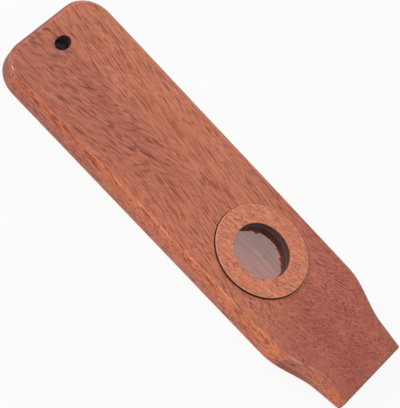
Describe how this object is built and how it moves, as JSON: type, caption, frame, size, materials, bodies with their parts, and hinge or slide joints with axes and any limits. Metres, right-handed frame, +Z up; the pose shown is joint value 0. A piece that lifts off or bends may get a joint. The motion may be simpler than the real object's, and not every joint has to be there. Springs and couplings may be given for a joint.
{
  "type": "kazoo",
  "caption": "Flat wooden kazoo with a tapered mouth end, a lift-out ring that clamps a thin clear film over its sound chamber, and a small oval outlet near the far end.",
  "frame": {"origin": "centre of the footprint, on the bottom face", "axes": "+X along the body towards the mouth end, +Y across it, +Z up through the ring"},
  "size_m": [0.13, 0.0388, 0.008],
  "materials": {
    "body_wood": "red-brown open-pored hardwood under a thin satin oil finish",
    "ring_wood": "lighter, finely speckled hardwood, sanded, with dark scorched cut edges",
    "clear_film": "thin clear glossy film, slightly wrinkled"
  },
  "bodies": {
    "body": {"upper_board": "body_wood", "lower_board": "body_wood"},
    "ring": {"ring_cap": "ring_wood"},
    "film": {"membrane_film": "clear_film"}
  },
  "joints": [
    {"name": "ring_lift", "type": "slide", "parent": "body", "child": "ring", "axis": [0, 0, 1], "range_m": [0, 0.02]},
    {"name": "film_lift", "type": "slide", "parent": "body", "child": "film", "axis": [0, 0, 1], "range_m": [0, 0.01]}
  ],
  "couplings": [
    {"joint": "film_lift", "follows": "ring_lift", "ratio": 0.5}
  ]
}
